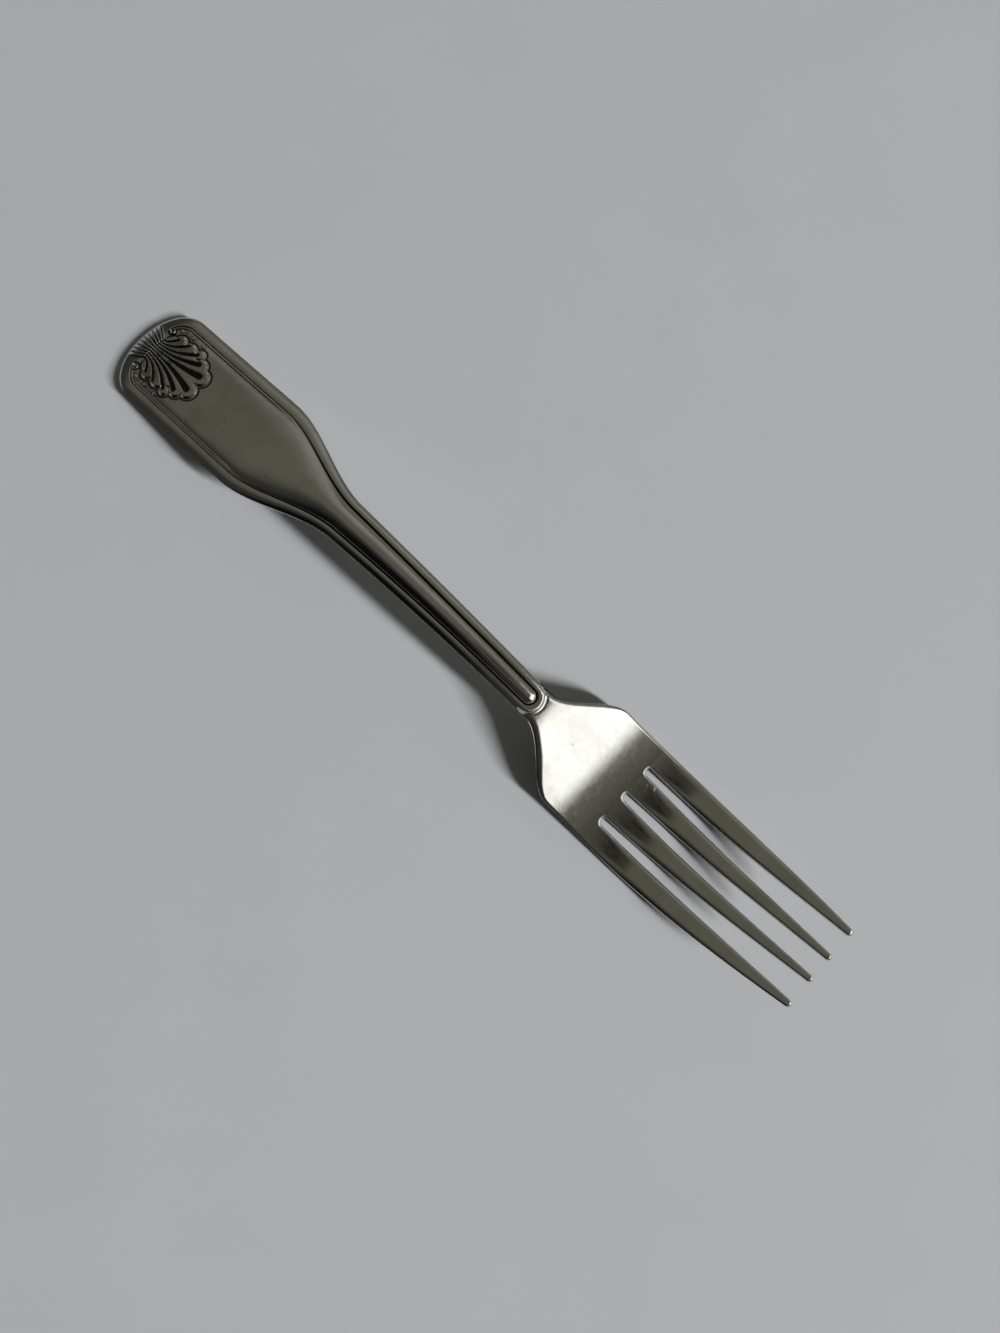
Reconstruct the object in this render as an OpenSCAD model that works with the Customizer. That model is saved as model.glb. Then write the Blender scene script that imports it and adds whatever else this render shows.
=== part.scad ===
// Dinner fork with a fiddle-shaped handle, a double thread border and a scallop shell.
// Sizes are in millimetres. The fork lies face up on z = 0: +X runs from the handle's end
// to the tine tips, +Y is the fork's left and +Z is up. The middle of its length is x = 0.

/* [Handle plate] */
// Length of the plate, from the handle's end to the waist
plate_length = 37; // [30:0.5:45]
// Width of the plate
plate_width = 22.4; // [20:0.1:28]
// Thickness of the plate
plate_thickness = 2.4; // [1.8:0.1:3.2]
// Depth of the plate's rounded end
end_depth = 8.1; // [7:0.1:12]
// Length over which the plate narrows into the stem
waist_length = 26.5; // [20:0.5:40]
// Radius of the rounding along the fork's outer edges
edge_radius = 1; // [0.4:0.05:1.1]

/* [Stem and neck] */
// Length of the stem, from the waist to the neck
stem_length = 52; // [40:0.5:70]
// Width of the stem at the waist
stem_width = 9.3; // [8:0.1:12]
// Width of the neck
neck_width = 7.2; // [6.4:0.1:8.6]
// Thickness of the stem at its rims
stem_thickness = 3; // [2.2:0.1:4]
// Distance from the handle's end to where the panel starts to swell into the stem's rib
rib_start = 20.5; // [20:0.5:26]
// Width of the rib's sloping side
rib_reach = 2.6; // [2:0.1:3]
// Height of the stem's rib above its rims
rib_height = 0.85; // [0.2:0.05:1]

/* [Head] */
// Length of the shoulders, from the neck to the palm
shoulder_length = 15; // [12:0.5:24]
// Width across the shoulders
shoulder_width = 25.4; // [20:0.1:29]
// Length of the palm, from the shoulders to the slots
palm_length = 11; // [8:0.5:14]
// Thickness of the palm
palm_thickness = 2.3; // [1.6:0.1:3]
// Greatest width across the tines
head_width = 26; // [22:0.1:30]

/* [Tines] */
// Length of the tines, from the slots' roots to the tips
tine_length = 48.5; // [40:0.5:62]
// Width of a slot at its root
slot_width = 1.8; // [1:0.1:2.4]
// Distance between the middles of the two outer slots
slot_spacing = 14; // [12:0.1:15]
// Width of a tine near its tip
tip_width = 1.4; // [1:0.1:2]
// Thickness of a tine at its tip
tip_thickness = 1.2; // [0.8:0.1:1.6]
// Distance between the middles of the two inner tips
inner_tip_spacing = 5.5; // [4.5:0.1:6.5]
// Distance between the middles of the two outer tips
outer_tip_spacing = 18; // [16:0.1:21]

/* [Side profile] */
// Angle at which the plate leaves the table, in degrees
plate_angle = 8.5; // [4:0.5:14]
// Distance from the stem's crest to the neck
crest_setback = 32.5; // [20:0.5:40]
// Angle at which the stem falls into the neck, in degrees
neck_angle = 14; // [4:0.5:22]
// Distance from the neck to the steepest part of the shoulders
drop_reach = 8; // [6:0.5:12]
// Steepest angle of the shoulders, in degrees
drop_angle = 30; // [20:0.5:40]
// Distance from the palm's bend to the slots' roots
palm_reach = 5.5; // [2:0.5:8]
// Angle at which the palm falls past its bend, in degrees
palm_angle = 11.5; // [4:0.5:18]
// Distance from the slots' roots to where the tines touch the table
belly_setback = 10; // [2:0.5:14]
// Height of the tips' middle
tip_height = 16.7; // [8:0.1:20]
// Angle at which the tips rise, in degrees
tip_angle = 28; // [20:0.5:40]

/* [Thread border] */
// Distance from the plate's edge to the middle of the outer thread groove
plate_rim = 2.5; // [1.8:0.05:2.8]
// Distance between the middles of the plate's two thread grooves
thread_pitch = 0.65; // [0.55:0.05:1]
// Width of a thread groove
thread_width = 0.45; // [0.3:0.05:0.5]
// Depth of a thread groove
thread_depth = 0.18; // [0.08:0.02:0.3]
// Distance from the stem's edge to the middle of its groove
stem_rim = 1.7; // [1.5:0.05:1.9]
// Width of the stem's groove
stem_groove_width = 0.6; // [0.4:0.05:0.7]
// Depth of the stem's groove
stem_groove_depth = 0.4; // [0.1:0.05:0.6]
// Distance from the neck to the middle of the arc on which the stem's groove closes
arch_setback = 2.65; // [2:0.05:3.5]
// Drop from the bead that closes the border at the neck to the palm
bead_drop = 0.35; // [0.1:0.05:0.5]

/* [Shell] */
// Distance from the handle's end to the shell's hinge
hinge_setback = 4.5; // [3.5:0.1:5]
// Half the width of the hinge
hinge_reach = 2.9; // [2.2:0.1:3.4]
// Distance from the hinge to the middle of the shell's body
body_setback = 3.6; // [3:0.1:5]
// Reach of the body from its middle towards the stem
body_reach = 11.3; // [9:0.1:12]
// Half the width of the body
body_half = 6; // [5.2:0.1:7]
// Number of flutes in the body
flutes = 10; // [6:2:12]
// Height of the shell above the plate
shell_height = 0.4; // [0.3:0.05:0.8]
// Angle from the axis to the last flute's outer edge, in degrees
shell_sweep = 98; // [90:1:104]
// Bulge of each flute's end
scallop = 0.5; // [0.2:0.05:0.7]
// Distance of the scrolls' middles from the axis
scroll_reach = 5.4; // [5:0.1:6]
// Outer radius of a scroll
scroll_radius = 0.95; // [0.7:0.05:1]

/* [Hidden] */
steel = "#8f8e8a";

// Stations along the fork, measured from the handle's end
stem_x = plate_length + waist_length;
neck_x = stem_x + stem_length;
palm_x = neck_x + shoulder_length;
slot_x = palm_x + palm_length;
tip_x = slot_x + tine_length;
belly_x = slot_x + belly_setback;

plate_half = plate_width / 2;
stem_half = stem_width / 2;
neck_half = neck_width / 2;
shoulder_half = shoulder_width / 2;
head_half = head_width / 2;
slot_half = slot_width / 2;
slot_y = slot_spacing / 2;
// Shape of the handle's end: 2 is an ellipse, and more is squarer
end_power = 2.2;
// How late each side of the blank curves in: 1 is straight
stem_curve = 1.8;
inner_tine_curve = 1.45;
slot_side_curve = 1.9;
outer_side_curve = 1.7;
// Rounding of a tine's edges, as a share of its least size
tine_rounding = 0.35;

// The stem's groove closes round the rib's end on an arc that is centred here
arch_x = neck_x - arch_setback;
arch_radius = half_width(arch_x) - stem_rim;

// Where one region of the blank hands over to the next
neck_start = arch_x;
neck_end = arch_x + arch_radius + stem_rim + edge_radius / 2;

// General curves
function clamp(u) = min(1, max(0, u));
function smooth(u) = let (c = clamp(u)) c * c * (3 - 2 * c);
function blend(a, b, x, x0, x1) = a + (b - a) * smooth((x - x0) / (x1 - x0));
function mix(a, b, u) = a + (b - a) * u;
function notch(u) = abs(u) < 1 ? (1 + cos(180 * u)) / 2 : 0;
function dome(u) = sqrt(max(0, 1 - pow(1 - clamp(u), 2)));
function steps(a, b, count) = [for (i = [0:count]) mix(a, b, i / count)];

// Side view: from the table up to the crest the slope changes evenly from station to station
function above(below, x, angle) = [
    x,
    below[1] + (below[0] - x) * (tan(angle) - below[2]) / 2,
    -tan(angle)
];
belly = [belly_x, thickness(belly_x) / 2, 0];
palm_bend = above(belly, slot_x - palm_reach, palm_angle);
drop = above(palm_bend, neck_x + drop_reach, drop_angle);
throat = above(drop, neck_x, neck_angle);
crest = above(throat, neck_x - crest_setback, 0);
// The middle of the metal passes through these stations as [x, height, slope]
spine = [
    [0, plate_thickness / 2, tan(plate_angle)],
    crest, throat, drop, palm_bend, belly,
    [tip_x, tip_height, tan(tip_angle)]
];
function span(x, i = 0) = i == len(spine) - 2 || x < spine[i + 1][0] ? i : span(x, i + 1);
function spine_z(x) =
    let (
        a = spine[span(x)],
        b = spine[span(x) + 1],
        run = b[0] - a[0],
        t = (x - a[0]) / run,
        s = t * t * (3 - 2 * t)
    )
    mix(a[1], b[1], s) + run * t * (1 - t) * ((1 - t) * a[2] - t * b[2]);
function spine_angle(x) = atan((spine_z(x + 0.01) - spine_z(x - 0.01)) / 0.02);

// A point at x along the fork, y across it and h above the middle of the metal
function place(x, y, h) =
    let (a = spine_angle(x))
    [x - h * sin(a) - tip_x / 2, y, spine_z(x) + h * cos(a)];

function thickness(x) =
    x < stem_x ? blend(plate_thickness, stem_thickness, x, plate_length, stem_x)
    : x < slot_x ? blend(stem_thickness, palm_thickness, x, neck_x, palm_x)
    : mix(palm_thickness, tip_thickness, (x - slot_x) / tine_length);

// Plan view: half the fork's width at x, past the handle's rounded end
function stem_side(x) =
    neck_half + (stem_half - neck_half) * pow(clamp((neck_x - x) / stem_length), stem_curve);
function half_width(x) =
    x < stem_x ? blend(plate_half, stem_half, x, plate_length, stem_x)
    : x < neck_x ? stem_side(x)
    : x < palm_x ? blend(neck_half, shoulder_half, x, neck_x, palm_x)
    : blend(shoulder_half, head_half, x, palm_x, belly_x);
function side_stretch(x) =
    sqrt(1 + pow((half_width(x + 0.05) - half_width(x - 0.05)) / 0.1, 2));

// The rounded end, set in by d, as [x, y] at an angle that runs from 0 on the axis to 90
function end_point(angle, d) = [
    d + (end_depth - d) * (1 - pow(cos(angle), 2 / end_power)),
    (plate_half - d) * pow(sin(angle), 2 / end_power)
];
// The same curve's x where it is y from the axis
function end_at(y, d) =
    d + (end_depth - d) * (1 - pow(1 - pow(abs(y) / (plate_half - d), end_power), 1 / end_power));

// Thread border: grooves, thread and rib, above the level of the rims. A point lies q inside
// the middle of the outer groove, which runs along the fork's sides and round the rib's end
function to_stem(x) = smooth((x - plate_length) / waist_length);
function rim(x) = mix(plate_rim, stem_rim, to_stem(x));
function groove_half(x) = mix(thread_width, stem_groove_width, to_stem(x)) / 2;
function from_groove(x, y, d) =
    x < arch_x ? d - rim(x) : arch_radius - norm([x - arch_x, y]);
function grooves(x, q) =
    mix(thread_depth, stem_groove_depth, to_stem(x)) * notch(q / groove_half(x))
    + thread_depth * (1 - to_stem(x)) * notch((q - thread_pitch) / groove_half(x));
function rib(x, q) =
    let (
        at = min(x, arch_x),
        reach = min(half_width(at) - rim(at) - groove_half(at), rib_reach),
        begun = smooth((x - rib_start) / (plate_length + waist_length / 2 - rib_start))
    )
    rib_height * begun * reach / rib_reach * sin(90 * clamp((q - groove_half(x)) / reach));
// Past the arc the bead drops to the palm
function bead_step(x, q) =
    x < arch_x ? 0
    : bead_drop * smooth(-2 * (q + stem_rim - edge_radius / 2) / edge_radius)
      * (1 - smooth((x - neck_x) / shoulder_length));
function border(x, y, d) =
    let (
        q = from_groove(x, y, d),
        // The threads stop at the scrolls
        open = x < end_depth ? smooth((y - scroll_reach) / scroll_radius) : 1
    )
    rib(x, q) - open * grooves(x, q) - bead_step(x, q);

// The edges are rounded: how far the surface drops at d from the edge
function edge_drop(d) = edge_radius * (1 - dome(d / edge_radius));

// One column of metal as [x, y, top, bottom], d from the outline
function column(x, y, d) =
    let (t = thickness(x) / 2)
    [x, y, t - edge_drop(d) + border(x, y, d), edge_drop(d) - t];

// Distances from the outline at which the border has its lines, from the panel outwards
edge_lines = [for (a = [90:-30:0]) edge_radius * (1 - cos(a))];
function border_lines(x) = concat(
    [for (k = [1.4, 1, 0.6]) rim(x) + k * thread_pitch],
    [for (k = [1:-1:-1]) rim(x) + k * groove_half(x)],
    edge_lines
);
inner_shares = [0, 0.35, 0.7];

// Half a section, from the axis to the edge, round the handle's end and across the blank
function end_section(angle) =
    let (
        lines = border_lines(0),
        inner = end_point(angle, lines[0])
    )
    concat(
        [for (f = inner_shares) column(inner[0], f * inner[1], lines[0] + edge_radius)],
        [for (d = lines) let (p = end_point(angle, d)) column(p[0], p[1], d)]
    );
function border_section(x) =
    let (
        lines = border_lines(x) * side_stretch(x),
        inner = half_width(x) - lines[0]
    )
    concat(
        [for (f = inner_shares) column(x, f * inner, (half_width(x) - f * inner) / side_stretch(x))],
        [for (d = lines) column(x, half_width(x) - d, d / side_stretch(x))]
    );
function across_section(x, lines, count) =
    let (
        w = half_width(x),
        inner = w - lines[0]
    )
    concat(
        [for (f = [0:count - 1]) column(x, inner * f / count, w - inner * f / count)],
        [for (d = lines) column(x, w - d, d)]
    );

// Solid between half sections, mirrored about the axis
module half_sections(sections) {
    columns = len(sections[0]);
    ring = 2 * columns;
    rings = len(sections);
    right = [
        for (s = sections) each concat(
            [for (c = s) place(c[0], c[1], c[2])],
            [for (k = [columns - 1:-1:0]) place(s[k][0], s[k][1], s[k][3])]
        )
    ];
    points = concat(right, [for (p = right) [p[0], -p[1], p[2]]]);
    skin = [
        for (i = [0:rings - 2]) for (k = [0:ring - 2])
            let (a = i * ring + k)
            each [[a, a + 1, a + ring], [a + 1, a + ring + 1, a + ring]]
    ];
    // A first section that lies on the axis has no cap, because the two halves join along it
    on_axis = sections[0][columns - 1][1] == 0;
    caps = [
        for (k = [0:columns - 2])
            let (
                a = ring - 1 - k,
                b = (rings - 1) * ring
            )
            each concat(
                on_axis ? [] : [[k, a, k + 1], [k + 1, a, a - 1]],
                [[b + k, b + k + 1, b + a], [b + k + 1, b + a - 1, b + a]]
            )
    ];
    half = [for (t = concat(skin, caps)) if (has_area(points, t)) t];
    mirrored = [for (t = half) [for (k = [2, 1, 0]) t[k] + len(right)]];
    polyhedron(points, concat(half, mirrored));
}
function has_area(points, t) =
    norm(cross(points[t[1]] - points[t[0]], points[t[2]] - points[t[0]])) > 1e-5;

// Solid between rings, each of which runs along its upper side and back along its lower side
module rings_solid(rings) {
    count = len(rings[0]);
    last = (len(rings) - 1) * count;
    skin = [
        for (i = [0:len(rings) - 2]) for (k = [0:count - 1])
            let (
                a = i * count + k,
                b = i * count + (k + 1) % count
            )
            each [[a, a + count, b], [b, a + count, b + count]]
    ];
    ends = [
        for (k = [0:count / 2 - 2])
            let (a = count - 1 - k)
            each [
                [a, k, k + 1], [a, k + 1, a - 1],
                [last + k, last + a, last + k + 1], [last + k + 1, last + a, last + a - 1]
            ]
    ];
    polyhedron([for (r = rings) each r], concat(skin, ends));
}

module handle_plate() {
    color(steel) half_sections(concat(
        [for (a = steps(0, 90, 12)) end_section(a)],
        [for (x = steps(end_depth, plate_length, 8)) if (x > end_depth) border_section(x)],
        [for (x = steps(plate_length, stem_x, 11)) if (x > plate_length) border_section(x)]
    ));
}

module stem() {
    color(steel) half_sections([for (x = steps(stem_x, neck_start, 13)) border_section(x)]);
}

module neck() {
    color(steel) half_sections([
        for (x = steps(neck_start, neck_end, 22)) across_section(x, border_lines(neck_start), 8)
    ]);
}

module palm() {
    color(steel) half_sections([for (x = steps(neck_end, slot_x, 18)) across_section(x, edge_lines, 3)]);
}

// Tines: a slot's half width grows from nothing on a round root
function slot_gap(x) = slot_half * dome((x - slot_x) / slot_half);
function along_tine(x) = clamp((x - slot_x) / tine_length);
// The two sides of a tine, as distances from the axis
function inner_tine(x) =
    let (
        tip = inner_tip_spacing / 2,
        near = mix(slot_half, tip - tip_width / 2, along_tine(x)),
        far = mix(slot_y - slot_half, tip + tip_width / 2, pow(along_tine(x), inner_tine_curve)),
        filled = slot_half - slot_gap(x)
    )
    [near - filled, far + filled];
function outer_tine(x) =
    let (
        tip = outer_tip_spacing / 2,
        near = mix(slot_y + slot_half, tip - tip_width / 2, pow(along_tine(x), slot_side_curve)),
        past_belly = clamp((x - belly_x) / (tip_x - belly_x)),
        far = mix(half_width(x), tip + tip_width / 2, pow(past_belly, outer_side_curve)),
        filled = slot_half - slot_gap(x)
    )
    [near - filled, far];

// The tip is rounded: the share of the tine's size that is left at x
tip_reach = tip_width / 2;
function tip_share(x) = sqrt(max(0.1, 1 - pow(clamp((x - tip_x + tip_reach) / tip_reach), 2)));
function rounded_tip(x, sides) =
    let (middle = (sides[0] + sides[1]) / 2)
    [for (s = sides) mix(middle, s, tip_share(x))];

// Rounding of a tine's edges, which grows with the slot so that each tine starts flush with the palm
function tine_radius(sides) = min(tip_thickness, sides[1] - sides[0]) * tine_rounding;
function slot_side_radius(x, sides) = min(tine_radius(sides), max(0.02, slot_gap(x)));
function outer_side_radius(x, sides) =
    mix(edge_radius, tine_radius(sides), smooth(along_tine(x)));

// Section of a tine between two sides, with each side's edges rounded
function tine_ring(x, sides, radii) =
    let (
        t = thickness(x) / 2 * max(0.6, tip_share(x)),
        corners = [[1, 1, 0], [0, 1, 90], [0, -1, 180], [1, -1, 270]]
    )
    [
        for (c = corners) for (a = [c[2]:30:c[2] + 90])
            let (
                r = radii[c[0]],
                inward = c[0] == 1 ? -1 : 1
            )
            place(x, sides[c[0]] + r * (inward + cos(a)), c[1] * (t - r) + r * sin(a))
    ];
tine_stations = concat(
    [for (a = [0:30:90]) slot_x + slot_half * (1 - cos(a))],
    [for (x = steps(slot_x + slot_half, tip_x - tip_reach, 15)) if (x > slot_x + slot_half) x],
    [for (a = [30:30:90]) tip_x - tip_reach * (1 - sin(a))]
);
module inner_tine_solid() {
    rings_solid([
        for (x = tine_stations)
            let (
                sides = rounded_tip(x, inner_tine(x)),
                r = slot_side_radius(x, sides)
            )
            tine_ring(x, sides, [r, r])
    ]);
}
module outer_tine_solid() {
    rings_solid([
        for (x = tine_stations)
            let (sides = rounded_tip(x, outer_tine(x)))
            tine_ring(x, sides, [slot_side_radius(x, sides), outer_side_radius(x, sides)])
    ]);
}
module outer_left_tine() {
    color(steel) outer_tine_solid();
}
module inner_left_tine() {
    color(steel) inner_tine_solid();
}
module inner_right_tine() {
    color(steel) mirror([0, 1, 0]) inner_tine_solid();
}
module outer_right_tine() {
    color(steel) mirror([0, 1, 0]) outer_tine_solid();
}

// Shell: p runs from the handle's end (-1) over the hinge (0) to the flutes' ends (1),
// and w runs across from the right (-1) to the left (1)
function in_flute(w) = let (u = (w + 1) / 2 * flutes) u - floor(u + 1e-6);
function shell_point(p, w) =
    let (
        hinge = [hinge_setback, w * hinge_reach],
        angle = sign(w) * shell_sweep * pow(abs(w), 0.8),
        bulge = scallop * sin(180 * in_flute(w)),
        outer = [
            hinge_setback + body_setback + (body_reach + bulge) * cos(angle),
            (body_half + bulge) * sin(angle)
        ],
        bend = [mix(hinge[0], outer[0], 0.65), mix(hinge[1], outer[1], 0.12)],
        fan_y = w * (scroll_reach - scroll_radius),
        fan = [end_at(fan_y, edge_radius), fan_y]
    )
    p < 0 ? mix(hinge, fan, -p)
    : pow(1 - p, 2) * hinge + 2 * p * (1 - p) * bend + p * p * outer;
function shell_relief(p, w) =
    let (
        rib = pow(cos(180 * in_flute(w)), 2),
        hollow = p < 0 ? 0.45 : mix(0.45, 0.12, smooth(p / 0.5)),
        floor_share = mix(hollow, 1, smooth((p - 0.8) / 0.1)),
        fan_fall = 1 - 0.8 * smooth((-p - 0.5) / 0.5),
        outline = 1 - 0.7 * smooth((p - 0.93) / 0.07),
        hinge_cut = 1 - 0.45 * notch(p / 0.09)
    )
    shell_height * fan_fall * outline * hinge_cut * mix(floor_share, 1, rib);
shell_rows = [-1, -0.75, -0.4, -0.09, 0, 0.09, 0.2, 0.38, 0.55, 0.7, 0.8, 0.9, 0.95, 1];
function seated(p, w, lift) =
    let (at = shell_point(p, w))
    place(at[0], at[1], thickness(at[0]) / 2 + lift);
module shell_motif() {
    across = steps(-1, 1, flutes * 4);
    color(steel) rings_solid([
        for (w = across) concat(
            [for (p = shell_rows) seated(p, w, shell_relief(p, w))],
            [for (k = [len(shell_rows) - 1:-1:0]) seated(shell_rows[k], w, 0)]
        )
    ]);
}

// Scroll: a half-round ridge that winds in to an eye beside the hinge
scroll_turns = 1.3;
module scroll() {
    thick = scroll_radius * 0.22;
    color(steel) rings_solid([
        for (u = steps(0, 1, 26))
            let (
                turn = 200 - 360 * scroll_turns * u,
                out = [cos(turn), sin(turn)],
                middle = [hinge_setback, scroll_reach] + out * mix(scroll_radius - thick, thick * 0.9, u)
            )
            [
                for (a = [0:36:180])
                    let (at = middle + out * thick * cos(a))
                    place(at[0], at[1], thickness(at[0]) / 2 + 1.4 * thick * sin(a))
            ]
    ]);
}
module left_scroll() {
    scroll();
}
module right_scroll() {
    mirror([0, 1, 0]) scroll();
}

handle_plate();
shell_motif();
left_scroll();
right_scroll();
stem();
neck();
palm();
outer_left_tine();
inner_left_tine();
inner_right_tine();
outer_right_tine();
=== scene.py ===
"""Shell-pattern dinner fork: one stamped steel blank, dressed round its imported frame."""

import math

import bmesh
import bpy
import numpy as np
from bpy.props import FloatProperty, FloatVectorProperty, PointerProperty
from bpy.types import Operator, Panel, PropertyGroup
from mathutils import Matrix


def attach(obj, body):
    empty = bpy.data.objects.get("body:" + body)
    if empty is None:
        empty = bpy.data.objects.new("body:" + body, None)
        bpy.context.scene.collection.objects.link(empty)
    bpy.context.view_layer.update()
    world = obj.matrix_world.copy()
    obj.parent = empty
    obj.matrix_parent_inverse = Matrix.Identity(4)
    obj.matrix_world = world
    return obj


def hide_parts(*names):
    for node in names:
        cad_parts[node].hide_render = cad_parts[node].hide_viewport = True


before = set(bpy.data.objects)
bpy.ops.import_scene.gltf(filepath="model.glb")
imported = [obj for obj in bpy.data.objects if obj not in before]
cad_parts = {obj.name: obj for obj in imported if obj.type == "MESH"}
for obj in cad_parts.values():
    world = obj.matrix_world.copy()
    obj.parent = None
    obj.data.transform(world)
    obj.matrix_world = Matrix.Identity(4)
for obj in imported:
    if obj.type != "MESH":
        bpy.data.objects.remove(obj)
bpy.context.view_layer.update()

bl_info = {
    "name": "Shell-pattern dinner fork",
    "version": (1, 0, 0),
    "blender": (4, 5, 0),
    "location": "3D View > Sidebar > Dinner Fork",
    "description": "Strikes a steel dinner fork from a flat blank and sets it on a pale table",
    "category": "Object",
}

MM = 0.001

# Columns across half of the blank, from the axis to the edge
PANEL_COLUMNS = 24
SLIT_COLUMN = 20
GROOVE_COLUMNS = 7
EDGE_COLUMNS = 8
# Share of a slot edge's radius at which each of its columns stands, from the slot inwards
SLOT_ROUND = 1 - np.cos(np.radians(np.linspace(0, 90, 5)))
# Columns that the plain underside keeps between its rounded edges
UNDERSIDE_COLUMNS = (10, 28, 34)
# Cuts that make the panel's columns fine enough for the shell
SHELL_CUTS = 2
# Stations round the handle's end
END_STATIONS = 120
# Stations and columns of the flat blank are a unit apart, and this tells them apart
NEAR = 0.1
# Points closer than this are the same point, and stations closer than this the same station
MERGE = 0.0001 * MM
SAME = 0.000001 * MM
# Faces that meet at more than this angle keep a crisp edge
CRISP = math.radians(50)
# Power by which the cuts' darkening, grime and painted shade together, gathers towards the bottom of a cut
GRIME_AND_PAINTED_SHADE_POWER = 1.5
# Half the table's width, in metres
TABLE_REACH = 3.0
# Width of the camera's sensor, in millimetres
SENSOR = 36.0


def linear(hex_text):
    """Linear colour of an sRGB hex value."""
    shares = [int(hex_text[k:k + 2], 16) / 255 for k in (0, 2, 4)]
    return tuple(s / 12.92 if s <= 0.04045 else ((s + 0.055) / 1.055) ** 2.4 for s in shares)


def length(label, about, size):
    """A length in the panel, with its default in millimetres."""
    return FloatProperty(name=label, description=about, default=size * MM, unit="LENGTH", precision=5)


def slope(label, about, degrees):
    """An angle in the panel, with its default in degrees."""
    return FloatProperty(name=label, description=about, default=math.radians(degrees), subtype="ANGLE")


def share(label, about, value):
    """A plain number in the panel."""
    return FloatProperty(name=label, description=about, default=value, precision=3)


def tint(label, about, hex_text):
    """A colour in the panel, with its default as an sRGB hex value."""
    return FloatVectorProperty(
        name=label, description=about, default=linear(hex_text), subtype="COLOR", min=0, max=1)


class HandleSizes(PropertyGroup):
    plate_length: length("Plate length", "From the handle's end to the waist", 37.0)
    plate_width: length("Plate width", "Width of the handle's plate", 22.4)
    plate_thickness: length("Plate thickness", "Thickness of the handle's plate", 2.4)
    end_depth: length("End depth", "Depth of the plate's rounded end", 8.1)
    end_power: share("End squareness", "2 is an ellipse, and more is squarer", 2.2)
    waist_length: length("Waist length", "Length over which the plate narrows", 26.5)
    plate_roll: share("Plate roll", "Share of the plate's rim that rolls over", 0.9)
    plate_turn: slope("Plate turn", "How far the plate's edges roll over before they break off", 26.0)
    end_turn: slope("End turn", "How far the handle's end rolls over before it breaks off", 5.0)
    end_late: share("End lateness", "How late the handle's end rolls over", 5.0)
    end_fall: length("End fall", "How much thinner the handle's end is than the plate", 0.72)
    end_reach: length("End reach", "How far in the handle's end begins to thin", 4.0)
    head_edge: length("Head edge", "How far in the head's edges roll over", 0.6)
    edge_turn: slope("Edge turn", "How far the other edges roll over before they break off", 42.0)
    edge_land: share("Edge land", "Share of the edge's thickness left as a square side", 0.05)


class StemSizes(PropertyGroup):
    stem_length: length("Stem length", "From the waist to the neck", 52.0)
    stem_width: length("Stem width", "Width of the stem at the waist", 9.3)
    stem_curve: share("Stem curve", "How late the stem's sides curve in", 1.8)
    stem_roll: share("Stem roll", "Share of the stem's rim that rolls over", 0.92)
    neck_width: length("Neck width", "Width of the neck", 7.2)
    stem_thickness: length("Stem thickness", "Thickness of the stem at its rims", 3.0)
    rib_start: length("Rib start", "From the handle's end to the rib's first swell", 20.5)
    rib_reach: length("Rib reach", "How far in the rib rises from its grooves", 2.6)
    rib_spread: share("Rib spread", "How much wider the swell is on the plate", 0.8)
    rib_broad: length("Rib broadening", "How far past the plate the swell is at its broadest", 5.0)
    rib_crest: share("Rib crest", "How much flatter than a round its crest is there", 0.35)
    rib_edge: length("Rib edge", "How far the panel rolls over beside its threads", 0.16)
    rib_edge_reach: length("Rib edge reach", "How far in that roll goes", 2.0)
    pillow: share("Pillow", "Share of the rib's height to which the plate's panel swells", 0.4)
    rib_height: length("Rib height", "Height of the rib above its rims at the waist", 0.85)


class HeadSizes(PropertyGroup):
    shoulder_length: length("Shoulder length", "From the neck to the palm", 15.0)
    shoulder_width: length("Shoulder width", "Width across the shoulders", 25.4)
    palm_length: length("Palm length", "From the shoulders to the slots", 11.0)
    palm_thickness: length("Palm thickness", "Thickness of the palm", 2.3)
    head_width: length("Head width", "Greatest width across the tines", 26.0)


class TineSizes(PropertyGroup):
    tine_length: length("Tine length", "From the slots' roots to the tips", 48.5)
    slot_width: length("Slot width", "Width of a slot at its root", 1.8)
    slot_spacing: length("Slot spacing", "Between the middles of the outer slots", 14.0)
    tip_width: length("Tip width", "Width of a tine near its tip", 1.4)
    tip_thickness: length("Tip thickness", "Thickness of a tine at its tip", 1.2)
    inner_tip_spacing: length("Inner tips", "Between the middles of the inner tips", 5.5)
    outer_tip_spacing: length("Outer tips", "Between the middles of the outer tips", 18.0)
    inner_curve: share("Inner tine curve", "How late an inner tine narrows", 1.45)
    slot_curve: share("Slot curve", "How late an outer tine leaves its slot", 1.9)
    outer_curve: share("Outer curve", "How late the head's sides curve in", 1.7)
    tine_rounding: share("Tine rounding", "Edge rounding as a share of a tine's size", 0.35)
    tine_crown: length("Tine crown", "How far a tine's face falls to its sides", 0.45)
    crown_reach: length("Crown reach", "How far in a tine's face begins to fall", 1.8)


class ProfileSizes(PropertyGroup):
    plate_angle: slope("Plate angle", "Angle at which the plate leaves the table", 8.5)
    crest_setback: length("Crest setback", "From the crest to the neck", 32.5)
    neck_angle: slope("Neck angle", "Angle at which the stem falls into the neck", 14.0)
    drop_reach: length("Drop reach", "From the neck to the steepest part of the drop", 8.0)
    drop_angle: slope("Drop angle", "Angle at which the head drops most steeply", 30.0)
    palm_reach: length("Palm reach", "From the palm's bend to the slots' roots", 5.5)
    palm_angle: slope("Palm angle", "Angle of the palm at its bend", 11.5)
    belly_setback: length("Belly setback", "From the slots' roots to the belly", 10.0)
    tip_height: length("Tip height", "Height of the tips' middle", 16.7)
    tip_angle: slope("Tip angle", "Angle at which the tips rise", 28.0)


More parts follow.
